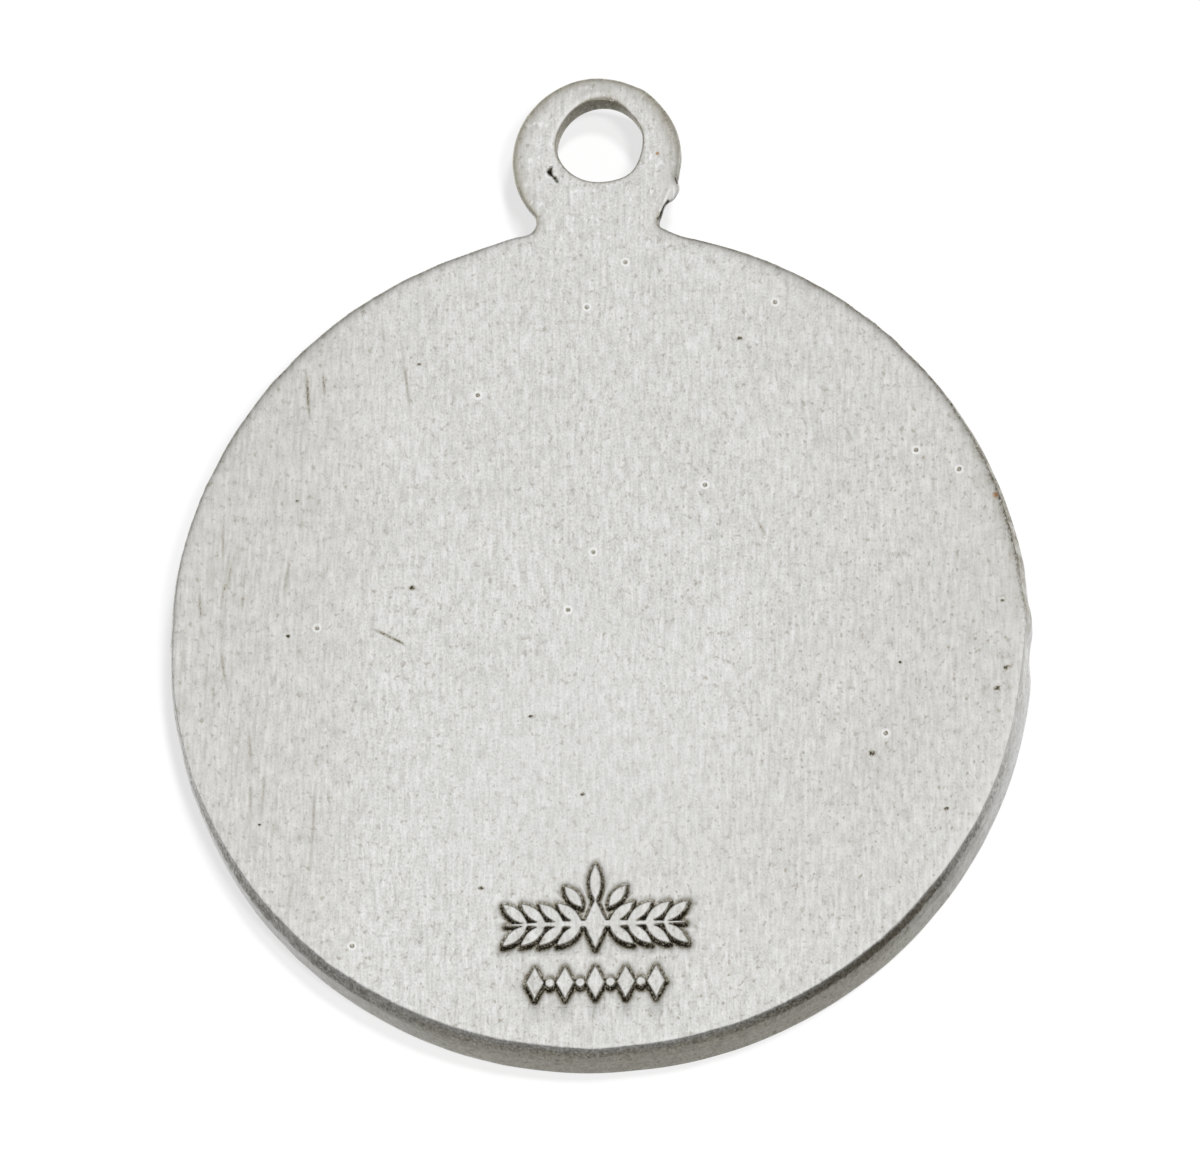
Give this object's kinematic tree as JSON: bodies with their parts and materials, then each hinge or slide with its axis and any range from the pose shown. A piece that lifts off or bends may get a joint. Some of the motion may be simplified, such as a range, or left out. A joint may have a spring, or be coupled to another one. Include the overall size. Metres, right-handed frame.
{
  "type": "religious medal pendant",
  "caption": "Round silver medal with a hanging loop in one piece: flat back with a small sunk ornament, raised rim and a plain relief cross on the front.",
  "frame": {"origin": "centre of the flat back, on the disc's axis", "axes": "+Z out of the flat back, +Y towards the hanging loop; the front faces -Z and rests on its rim"},
  "size_m": [0.0204, 0.0241, 0.0019],
  "materials": {
    "silver": "satin silver, brushed along Y, with tarnish in the sunk places"
  },
  "bodies": {
    "root": {"medal": "silver"}
  },
  "joints": []
}
